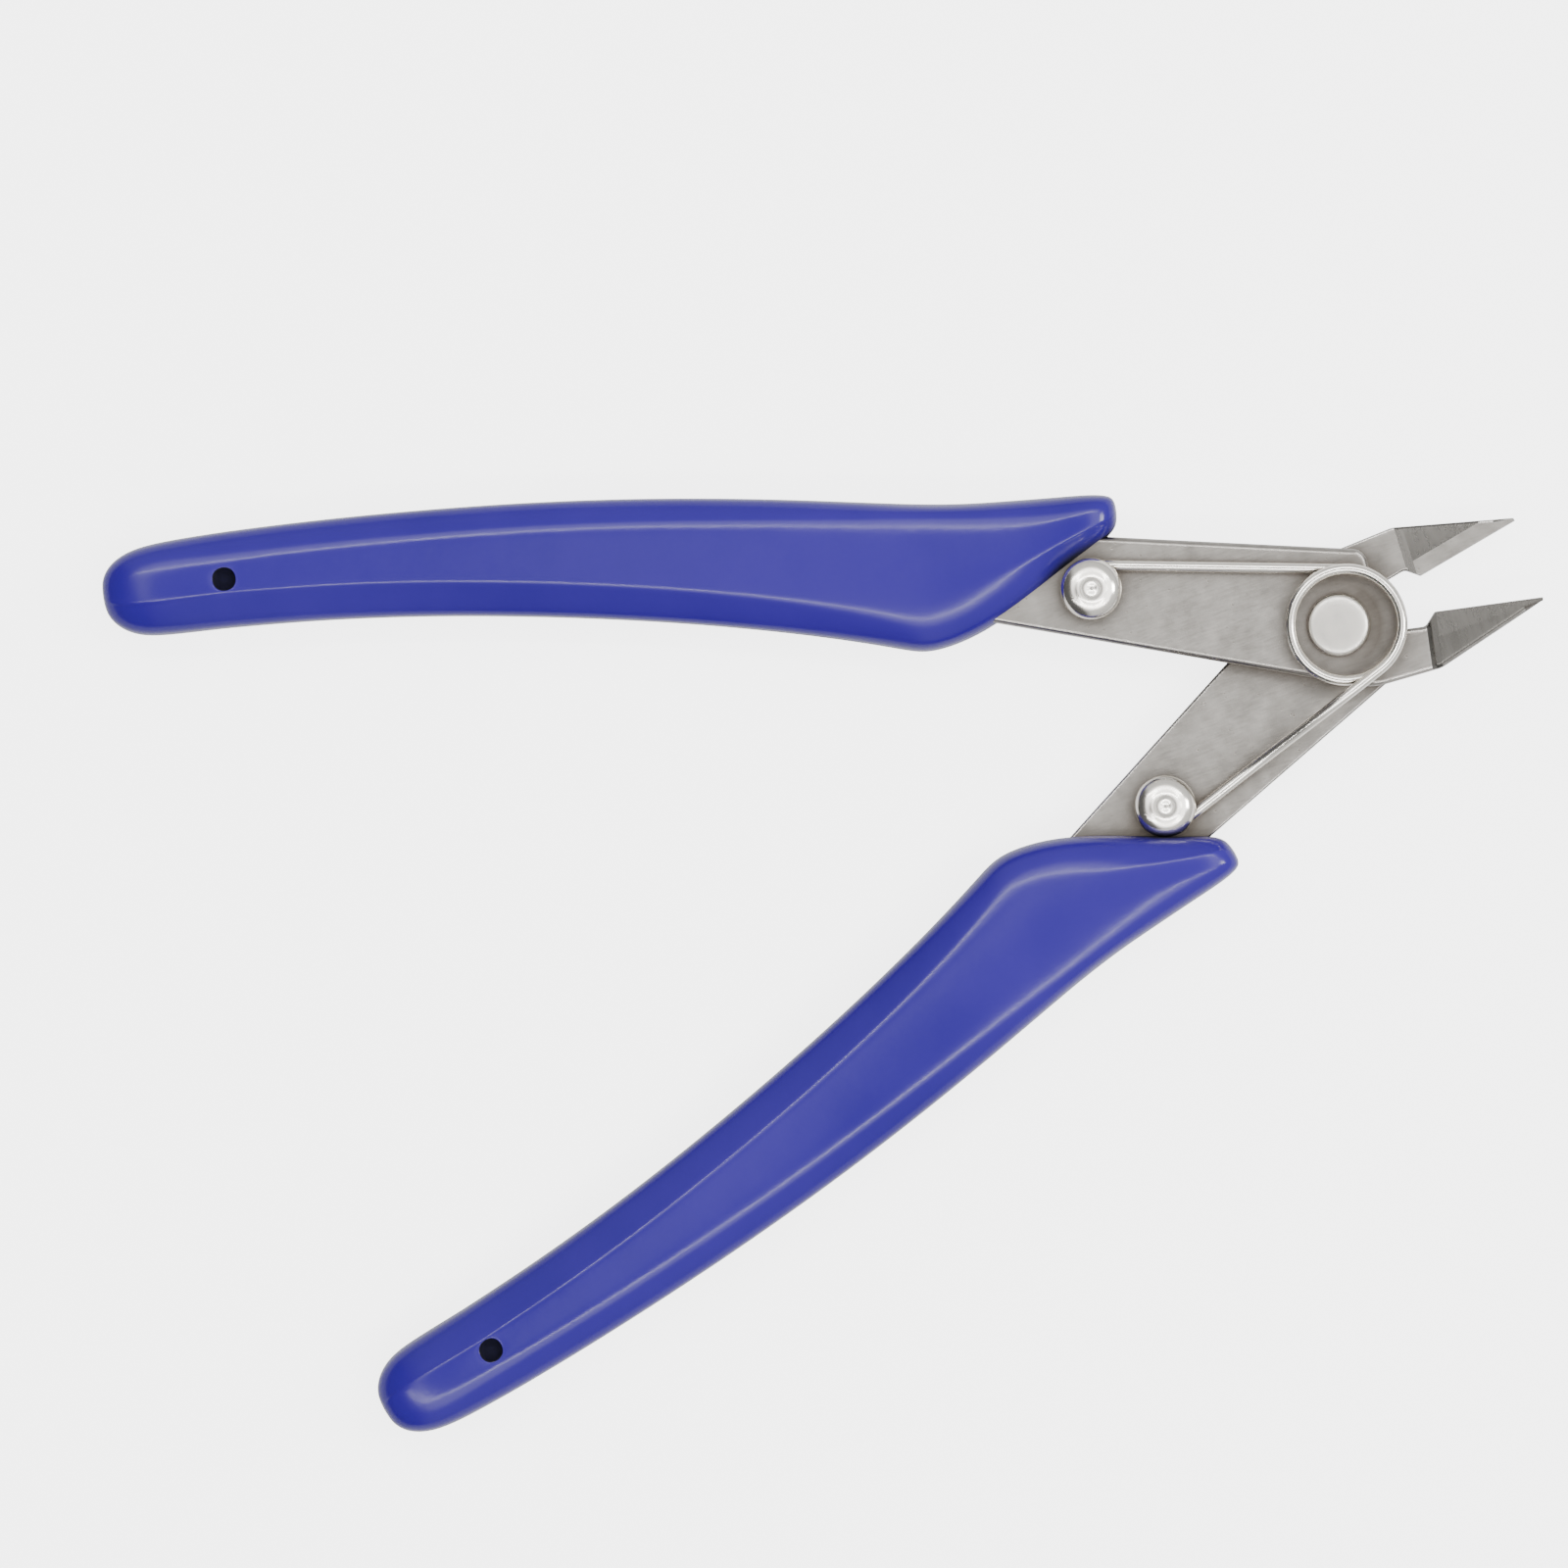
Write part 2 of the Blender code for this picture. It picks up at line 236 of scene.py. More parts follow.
def plateSteel(side):   # rolled and tumbled sheet: even grey, finely pitted, bright on its edges, with painted shade where pieces meet and a painted shadow inside the spring's coil
    look = {"dark": (0.315, 0.297, 0.272), "light": (0.395, 0.375, 0.347), "edge": (0.80, 0.785, 0.76),
            "pit": (0.12, 0.105, 0.085), "paintedShade": (0.085, 0.070, 0.055), "roughness": (0.29, 0.37),
            "cloudScale": 520, "grainScale": 5200, "pitScale": 1700, "rareScale": 900,
            "edgeWidth": 0.00025, "edgePolish": 0.12, "hollowReach": 0.003,
            "bump": 0.00002, "pitDepth": 0.00003}
    material, shader = newMaterial("plateSteel_" + side, 0.32, 1.0)
    place = placeOn(material, turn=-halves[side]["turn"])
    drawn = placeOn(material, turn=-halves[side]["turn"], scale=(0.12, 1, 1))
    cloud = noisePattern(material, place, look["cloudScale"], 6, 0.65)
    grain = noisePattern(material, drawn, look["grainScale"], 4, 0.6)
    both = mathOf(material, "ADD", mathOf(material, "MULTIPLY", cloud, 0.6),
                  mathOf(material, "MULTIPLY", grain, 0.4))
    base = mixColours(material, rangeOf(material, both, 0.36, 0.64, 0.0, 1.0),
                      look["dark"], look["light"])
    pits = addNode(material, "ShaderNodeTexVoronoi", {"Scale": look["pitScale"], "Randomness": 1.0})
    join(material, place, pits.inputs["Vector"])
    rare = noisePattern(material, place, look["rareScale"], 2)
    pitted = mathOf(material, "MULTIPLY", rangeOf(material, pits.outputs["Distance"], 0.10, 0.24, 1.0, 0.0),
                    rangeOf(material, rare, 0.56, 0.66, 0.0, 0.65))
    base = mixColours(material, pitted, base, look["pit"])
    edge = mathOf(material, "MULTIPLY", edgeMask(material, look["edgeWidth"]),
                  rangeOf(material, cloud, 0.3, 0.6, 0.5, 0.9))
    base = mixColours(material, edge, base, look["edge"])
    # painted shade in corners and where other pieces meet the plate
    base = mixColours(material, paintedShadeMask(material, look["hollowReach"], 0.9, 0.42), base, look["paintedShade"])
    # painted shadow of the spring's coil, inside the coil
    base = mixColours(material, coilShadow(material), base, look["paintedShade"])
    join(material, base, shader.inputs["Base Color"])
    rough = rangeOf(material, both, 0.35, 0.65, *look["roughness"])
    rough = mathOf(material, "SUBTRACT", rough, mathOf(material, "MULTIPLY", edge, look["edgePolish"]))
    join(material, rough, shader.inputs["Roughness"])
    low = bumpOf(material, shader, both, look["bump"], 0.7)
    bumpOf(material, shader, mathOf(material, "SUBTRACT", 1.0, pitted), look["pitDepth"], 0.6, low)
    return material


def shadedGroundSteel(side):   # the jaw's ground faces: painted darker as the shade on their tilted faces, with fine lines across the jaw
    look = {"dark": (0.112, 0.107, 0.098), "light": (0.127, 0.121, 0.111), "roughness": (0.265, 0.29),
            "lineScale": 3000, "lineStretch": 0.08, "cloudScale": 700, "bump": 0.000004}
    material, shader = newMaterial("shadedGroundSteel_" + side, 0.34, 1.0)
    across = placeOn(material, turn=-halves[side]["turn"], scale=(1, look["lineStretch"], 1))
    lines = noisePattern(material, across, look["lineScale"], 2, 0.5)
    cloud = noisePattern(material, placeOn(material), look["cloudScale"], 3)
    both = mathOf(material, "ADD", mathOf(material, "MULTIPLY", lines, 0.6),
                  mathOf(material, "MULTIPLY", cloud, 0.4))
    base = mixColours(material, rangeOf(material, both, 0.38, 0.62, 0.0, 1.0), look["dark"], look["light"])
    join(material, base, shader.inputs["Base Color"])
    join(material, rangeOf(material, both, 0.35, 0.65, *look["roughness"]), shader.inputs["Roughness"])
    bumpOf(material, shader, lines, look["bump"], 0.12)
    return material


def vinyl():   # moulded grip: even colour, soft gloss, a faint skin, paler on its edges and ridges partly as rubbing wear and partly as a painted sheen, with painted shade in its holes
    look = {"deep": (0.020, 0.0065, 0.205), "pale": (0.028, 0.011, 0.235), "rubbedAndSheen": (0.05, 0.03, 0.29),
            "hole": (0.004, 0.004, 0.014), "roughness": (0.16, 0.22), "specular": 0.38,
            "broadScale": 60, "rippleScale": 420, "skinScale": 1900,
            "rippleDepth": 0.00005, "skinDepth": 0.00001, "edgeWidth": 0.0012, "holeReach": 0.0025}
    material, shader = newMaterial("gripVinyl", 0.18, 0.0)
    shader.inputs["Specular IOR Level"].default_value = look["specular"]
    place = placeOn(material)
    broad = noisePattern(material, place, look["broadScale"], 3)
    ripple = noisePattern(material, place, look["rippleScale"], 2)
    skin = noisePattern(material, place, look["skinScale"], 3, 0.55)
    base = mixColours(material, rangeOf(material, broad, 0.35, 0.65, 0.0, 1.0), look["deep"], look["pale"])
    # paler edges and ridges: partly rubbing wear, partly a painted sheen
    rubbedAndSheen = mathOf(material, "MULTIPLY", edgeMask(material, look["edgeWidth"]),
                  rangeOf(material, broad, 0.4, 0.65, 0.1, 0.4))
    base = mixColours(material, rubbedAndSheen, base, look["rubbedAndSheen"])
    # painted shade: the pin holes and other hollows are darkened
    hollow = paintedShadeMask(material, look["holeReach"], 1.0)
    base = mixColours(material, hollow, base, look["hole"])
    join(material, base, shader.inputs["Base Color"])
    rough = rangeOf(material, broad, 0.3, 0.7, *look["roughness"])
    join(material, mathOf(material, "MAXIMUM", rough, hollow), shader.inputs["Roughness"])
    low = bumpOf(material, shader, skin, look["skinDepth"], 0.4)
    bumpOf(material, shader, ripple, look["rippleDepth"], 0.3, low)
    return material


def nickel(name, centre, roughness=(0.15, 0.23), tone=1.0, turned=True):   # bright plate over turned steel, with painted shade where it meets other pieces
    look = {"bright": (0.98, 0.945, 0.875), "cloudy": (0.90, 0.86, 0.785), "creviceShade": (0.12, 0.10, 0.08)}
    look = {part: tuple(c * tone for c in colour) for part, colour in look.items()}
    fine = {"cloudScale": 700, "ringScale": 1100, "ringDepth": 0.000003, "bump": 0.00001,
            "hollowReach": 0.0006}
    material, shader = newMaterial(name, roughness[0], 1.0)
    place = placeOn(material, location=tuple(-c for c in centre))
    cloud = noisePattern(material, place, fine["cloudScale"], 4, 0.6)
    base = mixColours(material, rangeOf(material, cloud, 0.35, 0.7, 0.0, 1.0), look["bright"], look["cloudy"])
    # painted shade where the piece meets others
    base = mixColours(material, paintedShadeMask(material, fine["hollowReach"], 0.8), base, look["creviceShade"])
    join(material, base, shader.inputs["Base Color"])
    join(material, rangeOf(material, cloud, 0.3, 0.7, *roughness), shader.inputs["Roughness"])
    if turned:
        rings = addNode(material, "ShaderNodeTexWave", {
            "Scale": fine["ringScale"], "Distortion": 0.6, "Detail": 1.0},
            wave_type="RINGS", rings_direction="Z")
        join(material, place, rings.inputs["Vector"])
        bumpOf(material, shader, rings.outputs["Fac"], fine["ringDepth"], 0.3)
    else:
        bumpOf(material, shader, cloud, fine["bump"], 0.25)
    return material


gripShape = {
    # along the grip: x, inner side, outer side, share of the full thickness, and how far its ridges
    # go from crisp, 0, to round, 1, or past it
    "stations": [
        (-111.3, 16.6, 19.1, 0.42, 1.0), (-110.45, 15.0, 20.65, 0.70, 1.0), (-108.5, 13.8, 21.75, 0.90, 1.0),
        (-105.6, 13.55, 22.15, 0.99, 0.9), (-101.1, 13.5, 22.25, 1.0, 0.45), (-98.7, 13.4, 22.28, 1.0, 0.3),
        (-91.0, 13.0, 22.2, 1.0, 0.1), (-81.0, 12.0, 21.8, 1.0, 0.0), (-70.0, 10.35, 21.05, 1.0, 0.0),
        (-59.0, 8.3, 19.85, 1.0, 0.0), (-49.0, 5.95, 18.35, 1.0, 0.3), (-42.5, 4.1, 17.2, 1.0, 0.8),
        (-39.6, 3.15, 16.7, 1.0, 1.1), (-37.6, 2.55, 16.35, 1.0, 1.3), (-35.3, 2.75, 16.0, 1.0, 1.4),
        (-32.2, 3.6, 15.6, 1.0, 1.4), (-28.5, 5.45, 15.35, 1.0, 1.2), (-24.5, 7.95, 15.1, 1.0, 0.95),
        (-21.4, 9.8, 14.95, 0.98, 1.0), (-19.4, 10.9, 14.7, 0.88, 1.0), (-18.5, 12.0, 14.2, 0.5, 1.0),
    ],
    # across the grip, each place crisp and then round: how far in from the side, and the height there
    "outerSide": [((0.0, 1.5), (0.0, 1.4)), ((0.3, 2.8), (0.35, 2.85)),
                  ((1.85, 3.87), (1.15, 3.72)), ((2.7, 4.15), (2.4, 4.1))],
    "innerSide": [((0.0, 1.5), (0.0, 1.4)), ((0.3, 2.45), (0.6, 2.75)),
                  ((2.65, 3.88), (2.1, 3.65)), ((3.05, 4.16), (3.1, 4.02))],
    "crown": 4.2, "crownHalf": 1.2, "fullWidth": 8.7, "levels": 3,
    # how far in and how deep each step of the hole goes
    "pinHole": {"at": -99.9, "find": 0.5,
                "steps": [(0.04, -0.04), (0.02, -0.25), (0.02, -0.7), (0.02, -0.75)]},
}


def gripSide(side, blunt, squeeze):   # how far in from the side and how high, from the middle up
    points = []
    for crisp, soft in gripShape[side]:
        depth, height = (a + (b - a) * blunt for a, b in zip(crisp, soft))
        points.append((depth * squeeze, height))
    return points


def gripSection(x, inner, outer, share, blunt):
    squeeze = min(1.0, (outer - inner) / gripShape["fullWidth"])
    middle = (inner + outer) / 2
    crown = gripShape["crownHalf"] * squeeze
    upper = [(outer - depth, height) for depth, height in gripSide("outerSide", blunt, squeeze)]
    upper += [(middle + crown, gripShape["crown"]), (middle - crown, gripShape["crown"])]
    upper += [(inner + depth, height) for depth, height in reversed(gripSide("innerSide", blunt, squeeze))]
    lower = [(y, -height) for y, height in reversed(upper)]
    return [(x, y, z * share) for y, z in upper + lower]


def sinkPinHole(bm):   # the moulding pin's hole, on both broad faces
    hole = gripShape["pinHole"]
    strip = [f for f in bm.faces if abs(f.calc_center_median().x - hole["at"]) < hole["find"]]
    flats = [f for f in strip if min(abs(v.co.z) for v in f.verts) > gripShape["crown"] - 0.001]
    for face in flats:
        for thickness, depth in hole["steps"]:
            bmesh.ops.inset_region(bm, faces=[face], thickness=thickness, depth=depth, use_even_offset=True)


def makeGrip(side, node, material):
    bm = bmesh.new()
    ring = startRing(bm, gripSection(*gripShape["stations"][0]))
    capRing(bm, ring)
    for station in gripShape["stations"][1:]:
        ring = pushRing(bm, ring, gripSection(*station))
    capRing(bm, ring)
    bmesh.ops.recalc_face_normals(bm, faces=bm.faces)
    sinkPinHole(bm)
    piece = makePiece(node + "Moulding", bm, halfMatrix(side), material, 180.0)
    smoothed(piece, gripShape["levels"])
    attach(piece, side, node)


plateShape = {
    # corners, anticlockwise: x, y, how far from the corner its rounding starts
    "corners": [
        (-104.5, 16.7, 1.2), (-50.0, 10.5, 5.8), (2.4, -6.1, 1.15), (8.9, -5.15, 0.35),
        (17.2, -1.12, 0.0), (18.9, -0.3, 0.08), (18.9, 0.0, 0.0), (9.0, 0.0, 0.0), (8.0, -1.2, 0.35),
        (5.88, -1.2, 0.0), (6.65, 2.62, 3.8), (3.48, 4.88, 0.0), (3.3, 6.5, 0.95), (-45.0, 15.55, 3.3),
        (-104.5, 20.0, 1.2),
    ],
    "inner": 0.15, "outer": 2.35, "outerRim": 0.55, "innerRim": 0.25, "jawEdgeEnd": 17.3,
}
jawShape = {
    # the inner face: hollow-ground behind a land that runs along the cutting edge
    "hollowFrom": ((8.19, -1.54), (9.04, -5.14)), "hollowWidth": 0.8, "land": 1.55, "hollowSlope": 0.09,
    # the outer face: a groove across the jaw, then ground thinner towards the tip
    "groove": [(7.95, 1.0), (8.45, 0.77), (9.0, 0.85), (18.9, 0.5)],
    "ridge": ((9.0, -2.3), (18.9, -0.15)), "edgeSlope": 0.07,
}


def plateOutline(bm):
    corners = plateShape["corners"]
    inner = plateShape["inner"]
    verts = [bmesh.ops.create_vert(bm, co=(*corner[:2], inner))["vert"][0] for corner in corners]
    bm.faces.new(verts)
    for vert, (x, y, reach) in zip(verts, corners):
        if reach:
            bmesh.ops.bevel(bm, geom=[vert], offset=reach, offset_type="OFFSET", affect="VERTICES",
                            segments=max(4, ceil(reach * 4)), profile=0.5, material=-1)


def onCuttingEdge(vert):
    return vert.co.x > 8.5 and vert.co.y > -0.05


def breakRims(bm, level, width):   # rounds one face's rims, all but the cutting edge
    rims = []
    for edge in bm.edges:
        flat = all(abs(v.co.z - level) < 0.001 for v in edge.verts)
        side = any(abs(f.normal.z) < 0.5 for f in edge.link_faces)
        sharp = any(onCuttingEdge(v) or v.co.x > plateShape["jawEdgeEnd"] for v in edge.verts)
        if flat and side and not sharp:
            rims.append(edge)
    bmesh.ops.bevel(bm, geom=rims, offset=width, offset_type="OFFSET", affect="EDGES",
                    segments=3, profile=0.5, material=-1)


def creaseJaw(bm, outer, first, second, beyond=-1000.0):   # a sharp crease across one face of the jaw
    middle = (plateShape["inner"] + plateShape["outer"]) / 2
    faces = [f for f in bm.faces if f.calc_center_bounds().x > beyond
             and (f.calc_center_median().z > middle) == outer and abs(f.normal.z) > 0.1]
    geom = faces + list({e for f in faces for e in f.edges}) + list({v for f in faces for v in f.verts})
    normal = (second[1] - first[1], first[0] - second[0], 0)
    cut = bmesh.ops.bisect_plane(bm, geom=geom, plane_co=(*first, 0), plane_no=normal, dist=0.00001)
    for edge in cut["geom_cut"]:
        if isinstance(edge, bmesh.types.BMEdge):
            edge.seam = True


def hollowStart(y):   # where the inner face's hollow begins, at this distance from the cutting edge
    (x0, y0), (x1, y1) = jawShape["hollowFrom"]
    return x0 + jawShape["hollowWidth"] + (y - y0) * (x1 - x0) / (y1 - y0)


def grindInner(bm):
    shape = jawShape
    first, second = shape["hollowFrom"]
    for shift in (0.0, shape["hollowWidth"]):
        creaseJaw(bm, False, (first[0] + shift, first[1]), (second[0] + shift, second[1]))
    creaseJaw(bm, False, (0.0, -shape["land"]), (1.0, -shape["land"]), hollowStart(first[1]))
    for vert in bm.verts:
        low = vert.co.z < plateShape["inner"] + plateShape["innerRim"] + 0.01
        if low and vert.co.x > hollowStart(vert.co.y) - 0.01 and vert.co.y < -shape["land"]:
            vert.co.z += shape["hollowSlope"] * (-shape["land"] - vert.co.y)


def grindOuter(bm):
    groove = jawShape["groove"]
    first, second = jawShape["ridge"]
    for place in groove[:-1]:
        creaseJaw(bm, True, (place[0], 0.0), (place[0], -1.0))
    creaseJaw(bm, True, first, second, groove[2][0])
    for vert in bm.verts:
        x, y, z = vert.co
        if x <= groove[0][0] + 0.001 or z < plateShape["outer"] * 0.5:
            continue
        start, end = next(span for span in zip(groove, groove[1:]) if x <= span[1][0] + 0.001)
        share = start[1] + (end[1] - start[1]) * (x - start[0]) / (end[0] - start[0])
        vert.co.z = plateShape["inner"] + (z - plateShape["inner"]) * share
        ridge = first[1] + (x - first[0]) * (second[1] - first[1]) / (second[0] - first[0])
        if x > groove[2][0] - 0.001 and y > ridge:
            vert.co.z -= jawShape["edgeSlope"] * (y - ridge)


def markGround(bm):   # the ground faces take the plate's second, painted-darker material
    bm.normal_update()
    for face in bm.faces:
        centre = face.calc_center_median()
        flatness = 0.5 if centre.x < jawShape["groove"][2][0] else 0.93   # beyond it the rims stay bright
        outer = face.normal.z > flatness and centre.x > jawShape["groove"][0][0]
        hollow = hollowStart(centre.y) - jawShape["hollowWidth"]
        inner = face.normal.z < -0.5 and centre.x > hollow and centre.y < -jawShape["land"]
        face.material_index = 1 if outer or inner else 0


def makePlate(side, node):
    shape = plateShape
    bm = bmesh.new()
    plateOutline(bm)
    grown = bmesh.ops.extrude_face_region(bm, geom=list(bm.faces))["geom"]
    bmesh.ops.translate(bm, verts=[g for g in grown if isinstance(g, bmesh.types.BMVert)],
                        vec=(0, 0, shape["outer"] - shape["inner"]))
    bmesh.ops.recalc_face_normals(bm, faces=bm.faces)
    breakRims(bm, shape["outer"], shape["outerRim"])
    breakRims(bm, shape["inner"], shape["innerRim"])
    grindInner(bm)
    grindOuter(bm)
    markGround(bm)
    piece = makePiece(node + "Stamping", bm, halfMatrix(side), plateSteel(side))
    piece.data.materials.append(shadedGroundSteel(side))
    weighted(piece)
    attach(piece, side, node)


rivetProfile = [   # radius and height, from the top of the front head to its shank's middle
    (0.0, 3.10), (1.4, 3.09), (2.35, 3.05), (2.62, 2.98), (2.80, 2.83), (2.85, 2.64), (2.85, 2.45),
    (2.80, 2.38), (2.70, 2.36), (2.0, 2.36), (1.9, 2.34), (1.9, 2.2),
]
postProfile = [   # height above the plate's face, from the dimple in the head down to the set end
    (0.0, 2.60), (0.20, 2.61), (0.40, 2.67), (0.60, 2.74), (0.95, 2.76), (1.30, 2.70), (1.55, 2.60),
    (1.72, 2.58), (2.05, 2.48), (2.40, 2.28), (2.66, 2.0), (2.80, 1.70), (2.82, 1.45), (2.74, 1.33),
    (2.50, 1.28), (1.55, 1.26), (1.40, 1.22), (1.40, 1.0), (1.40, -1.9), (1.40, -2.0), (1.30, -2.12),
    (1.1, -2.15), (0.0, -2.15),
]


def turnProfile(bm, profile, steps=72):
    verts = [bmesh.ops.create_vert(bm, co=(r, 0, z))["vert"][0] for r, z in profile]
    edges = [bm.edges.new((a, b)) for a, b in zip(verts, verts[1:])]
    bmesh.ops.spin(bm, geom=verts + edges, cent=(0, 0, 0), axis=(0, 0, 1), angle=2 * pi,
                   steps=steps, use_merge=True)
    bmesh.ops.remove_doubles(bm, verts=bm.verts, dist=0.0005)


def makeRivet(material):
    bm = bmesh.new()
    lower = [(r, -z) for r, z in reversed(rivetProfile)]
    turnProfile(bm, rivetProfile + lower)
    piece = smoothed(makePiece("pivotRivetTurned", bm, halfMatrix("front"), material, 180.0), 1)
    attach(piece, "front", "pivot_rivet")


def makePost(side, node, material):
    bm = bmesh.new()
    turnProfile(bm, postProfile)
    low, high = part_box(node)
    centre = (low + high) / 2
    face = plateShape["outer"] if side == "front" else -plateShape["inner"]   # the plate's face that is up
    matrix = Matrix.Translation((centre.x, centre.y, pivot.z + face * mm)) @ Matrix.Scale(mm, 4)
    piece = smoothed(makePiece(node + "Turned", bm, matrix, material, 180.0), 1)
    attach(piece, side, node)


springShape = {
    "wire": 0.475, "coil": 5.08, "centre": (0.6, -0.2), "rise": 1.0, "legAngle": radians(161.0),
    "low": 2.9, "rear": 0.4, "hook": 2.17, "hookTurn": radians(150.0), "rearDrop": (0.1, 0.74),
    "sides": 20, "finest": radians(5.0), "legSteps": 24, "bendReach": 4.0,
}


def arcPoints(centre, radius, start, end, low, high):
    count = ceil(abs(end - start) / springShape["finest"])
    points = []
    for i in range(count + 1):
        angle = start + (end - start) * i / count
        points.append(Vector((centre[0] + radius * cos(angle), centre[1] + radius * sin(angle),
                              low + (high - low) * i / count)))
    return points


def legPoints(first, last, drop):   # between two places, the height easing over where drop says
    count = springShape["legSteps"]
    points = []
    for i in range(1, count):
        t = i / count
        point = first.lerp(last, t)
        eased = min(max((t - drop[0]) / (drop[1] - drop[0]), 0.0), 1.0)
        point.z = first.z + (last.z - first.z) * eased * eased * (3 - 2 * eased)
        points.append(point)
    return points


def springPath():
    shape = springShape
    leave = shape["legAngle"] - pi / 2
    turn = 2 * leave + 2 * pi
    high = shape["low"] + shape["rise"] * turn / (2 * pi)
    posts = []
    for node in ("front_spring_post", "rear_spring_post"):
        bottom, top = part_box(node)
        posts.append(((bottom + top) / 2 - pivot) / mm)
    hook, hookTurn, low, rear = shape["hook"], shape["hookTurn"], shape["low"], shape["rear"]
    frontHook = arcPoints(posts[0], hook, leave + hookTurn, leave, low, low)
    rearHook = arcPoints(posts[1], hook, -leave, -leave - hookTurn, rear, rear)
    coil = arcPoints(shape["centre"], shape["coil"], leave, leave - turn, low, high)
    frontLeg = legPoints(frontHook[-1], coil[0], (0.0, 1.0))
    rearLeg = legPoints(coil[-1], rearHook[0], shape["rearDrop"])
    return frontHook + frontLeg + coil + rearLeg + rearHook


def sweepWire(bm, path, radius, sides):
    heading = (path[1] - path[0]).normalized()
    across = heading.cross(Vector((0, 0, 1))).normalized() * radius
    spokes = [Matrix.Rotation(2 * pi * i / sides, 3, heading) @ across for i in range(sides)]
    ring = startRing(bm, [path[0] + s for s in spokes])
    capRing(bm, ring)
    for i in range(1, len(path)):
        ahead = path[min(i + 1, len(path) - 1)] - path[i - 1]
        swing = heading.rotation_difference(ahead.normalized())
        heading = ahead.normalized()
        spokes = [swing @ s for s in spokes]
        ring = pushRing(bm, ring, [path[i] + s for s in spokes])
    capRing(bm, ring)


def makeSpring(material):
    bm = bmesh.new()
    sweepWire(bm, springPath(), springShape["wire"], springShape["sides"])
    piece = makePiece("returnSpringWire", bm, openMatrix(), material, 50.0)
    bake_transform(piece)
    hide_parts("return_spring")
    print("made", piece.name)


studio = {
    "across": 0.144, "lens": 200.0, "sensor": 36.0, "centre": (-0.05245, 0.00283), "roll": radians(-19.1),
    "floorSize": 1500.0, "floorGrey": (0.6, 0.6, 0.6, 1.0),
    "floorGlow": (0.2, 3.9),   # on the pieces, and as the camera sees it
    # the room's brightness against height: dark walls, a bright ring of softboxes, a dim ceiling
    "room": [(0.0, 0.45), (0.3, 0.8), (0.74, 0.8), (0.82, 3.4), (0.93, 3.4), (0.965, 0.65), (1.0, 0.55)],
    # the room's dark side, below the camera's left, and where it starts and ends across the room
    "darkSide": 0.12, "darkTurn": radians(22), "darkEdge": (-0.5, -0.3),
    "lights": [   # right and up as the camera sees it, height, length, width, watts
        ("topStrip", 0.00, 0.25, 0.62, 0.80, 0.02, 1.2),
        ("lowStrip", 0.00, -0.25, 0.62, 0.80, 0.02, 1.2),
        ("sheenBox", -0.03, 0.00, 0.82, 0.06, 0.30, 0.10),
        ("key", 0.50, 0.05, 0.45, 0.15, 0.15, 1.6),
    ],
}


def imagePlace(right, up, height):   # a place given as the camera sees it
    turned = Matrix.Rotation(studio["roll"], 3, "Z") @ Vector((right, up, 0))
    centre = Vector((pivot.x + studio["centre"][0], pivot.y + studio["centre"][1], 0))
    return centre + turned + Vector((0, 0, height))


def makeRoom():
    world = bpy.data.worlds.new("softRoom")
    bpy.context.scene.world = world
    world.use_nodes = True
    background = world.node_tree.nodes["Background"]
    background.inputs["Color"].default_value = (1.0, 1.0, 1.0, 1.0)
    coordinate = addNode(world, "ShaderNodeTexCoord")
    turned = addNode(world, "ShaderNodeMapping", {
        "Rotation": (0, 0, -studio["roll"] - studio["darkTurn"])})
    parts = addNode(world, "ShaderNodeSeparateXYZ")
    join(world, coordinate.outputs["Generated"], turned.inputs["Vector"],
         turned.outputs["Vector"], parts.inputs[0])
    brightness = studio["room"][0][1]
    for (low, dim), (high, bright) in zip(studio["room"], studio["room"][1:]):
        rise = rangeOf(world, parts.outputs["Z"], low, high, 0.0, bright - dim)
        brightness = mathOf(world, "ADD", rise, brightness)
    side = rangeOf(world, parts.outputs["X"], *studio["darkEdge"], studio["darkSide"], 1.0)
    join(world, mathOf(world, "MULTIPLY", brightness, side), background.inputs["Strength"])


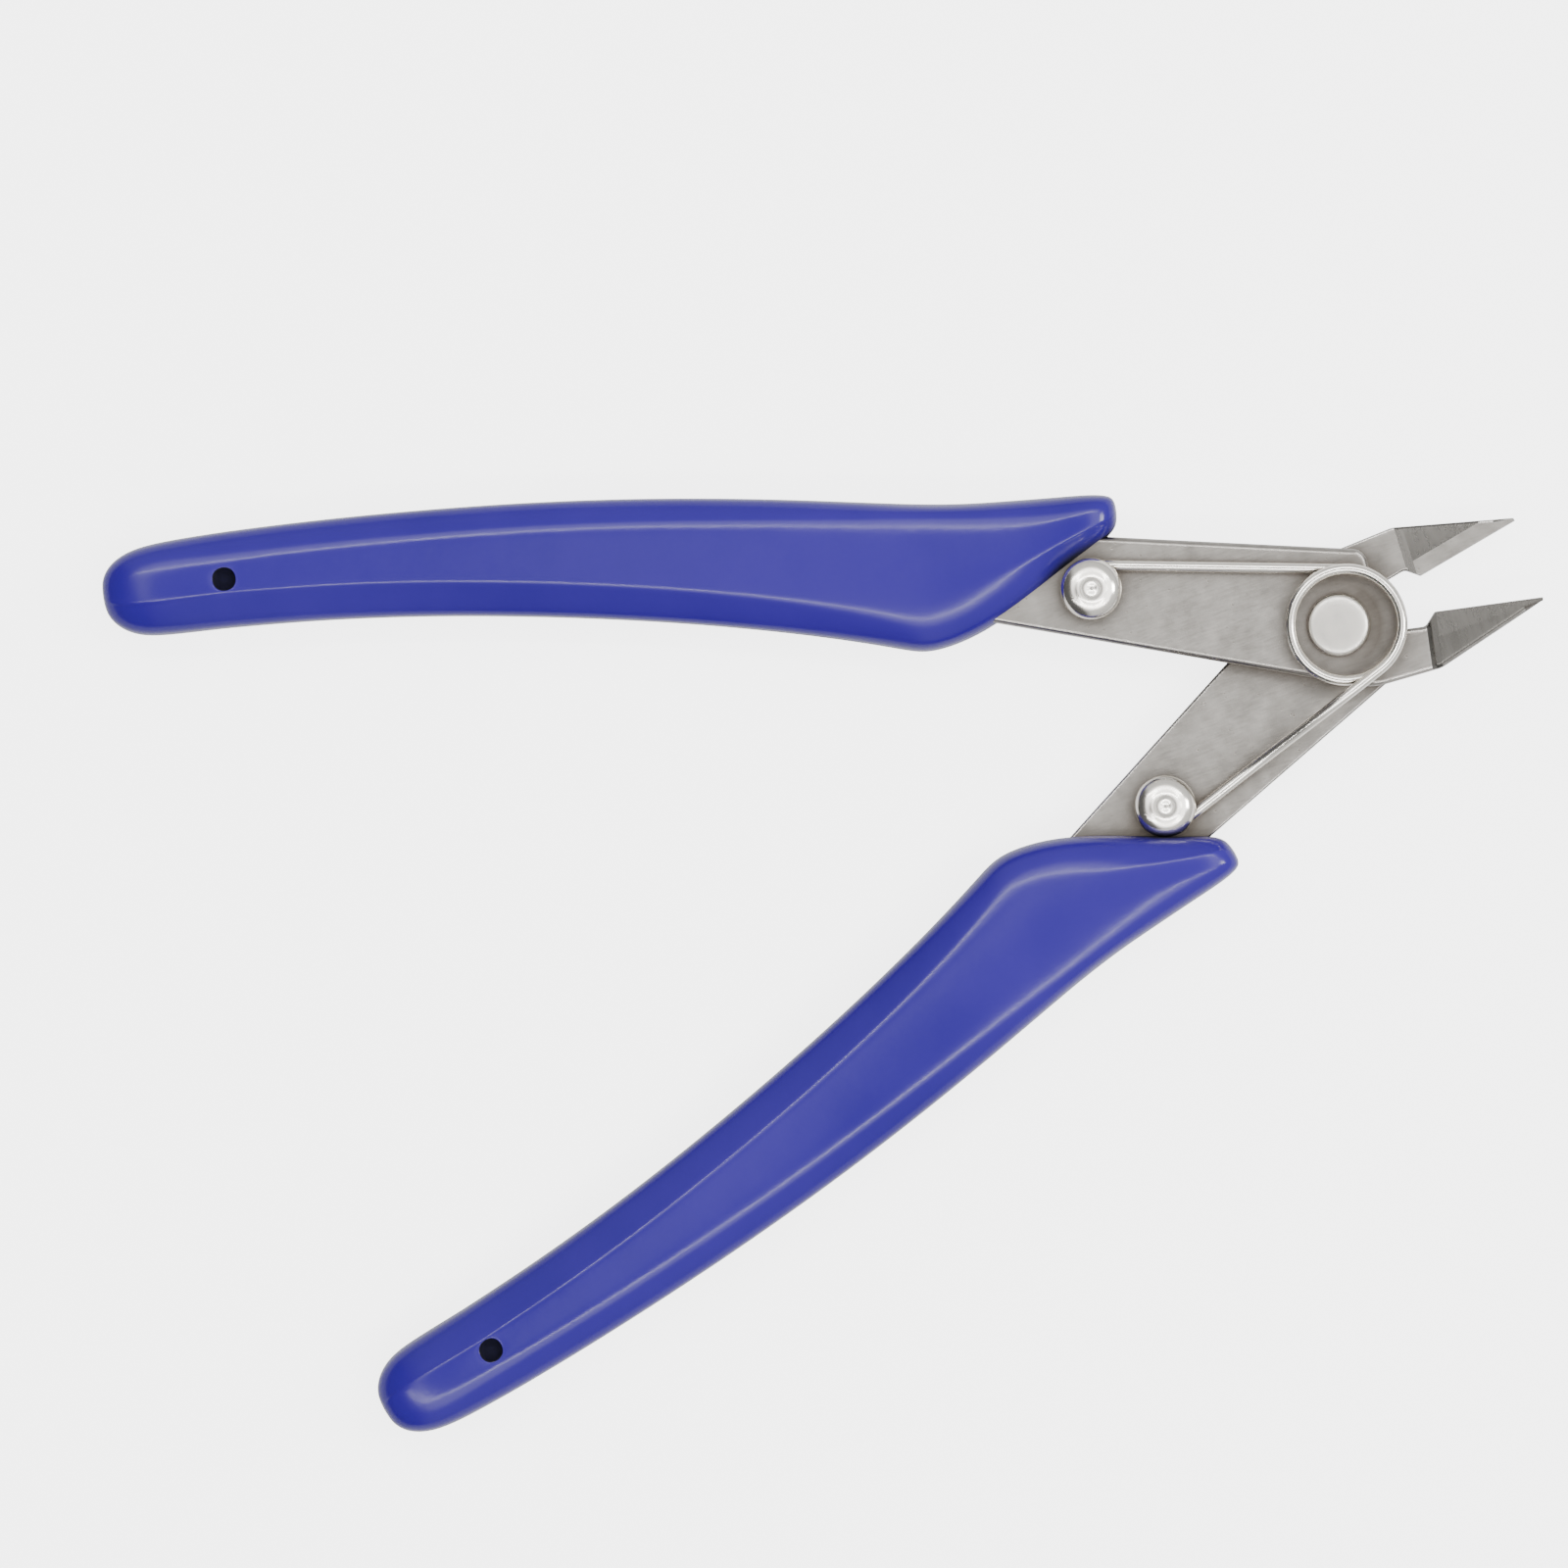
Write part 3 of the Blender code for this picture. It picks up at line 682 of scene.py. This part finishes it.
def makeStudio():
    bm = bmesh.new()
    bmesh.ops.create_grid(bm, x_segments=1, y_segments=1, size=studio["floorSize"])
    material, shader = newMaterial("paleFloor", 0.75, 0.0)
    shader.inputs["Base Color"].default_value = studio["floorGrey"]
    shader.inputs["Emission Color"].default_value = (1.0, 1.0, 1.0, 1.0)
    ray = addNode(material, "ShaderNodeLightPath")
    glow = rangeOf(material, ray.outputs["Is Camera Ray"], 0.0, 1.0, *studio["floorGlow"])
    join(material, glow, shader.inputs["Emission Strength"])
    floor = makePiece("floor", bm, Matrix.Scale(mm, 4), material)
    makeRoom()
    for name, right, up, height, length, width, watts in studio["lights"]:
        lamp = bpy.data.lights.new(name, "AREA")
        lamp.shape = "RECTANGLE"
        lamp.size = length
        lamp.size_y = width
        lamp.energy = watts
        holder = bpy.data.objects.new(name, lamp)
        holder.location = imagePlace(right, up, height)
        back = (holder.location - imagePlace(0, 0, 0)).normalized()
        along = (imagePlace(1, 0, 0) - imagePlace(0, 0, 0)).normalized()
        side = (along - back * along.dot(back)).normalized()
        holder.rotation_euler = Matrix((side, back.cross(side), back)).transposed().to_euler()
        bpy.context.scene.collection.objects.link(holder)
    camera = bpy.data.cameras.new("camera")
    camera.lens = studio["lens"]
    camera.sensor_width = studio["sensor"]
    camera.clip_start = 0.01
    holder = bpy.data.objects.new("camera", camera)
    holder.location = imagePlace(0, 0, studio["across"] * studio["lens"] / studio["sensor"])
    holder.rotation_euler = (0.0, 0.0, studio["roll"])
    bpy.context.scene.collection.objects.link(holder)
    bpy.context.scene.camera = holder
    print("studio ready")


makeStudio()
gripMaterial = vinyl()
for side, node in (("front", "upper_grip"), ("rear", "lower_grip")):
    makeGrip(side, node, gripMaterial)
for side, node in (("front", "front_plate"), ("rear", "rear_plate")):
    makePlate(side, node)
makeRivet(nickel("rivetNickel", pivot, (0.3, 0.4), 0.74))
for side, node in (("front", "front_spring_post"), ("rear", "rear_spring_post")):
    low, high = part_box(node)
    makePost(side, node, nickel("postNickel_" + side, (low + high) / 2))
makeSpring(nickel("springNickel", pivot, turned=False))
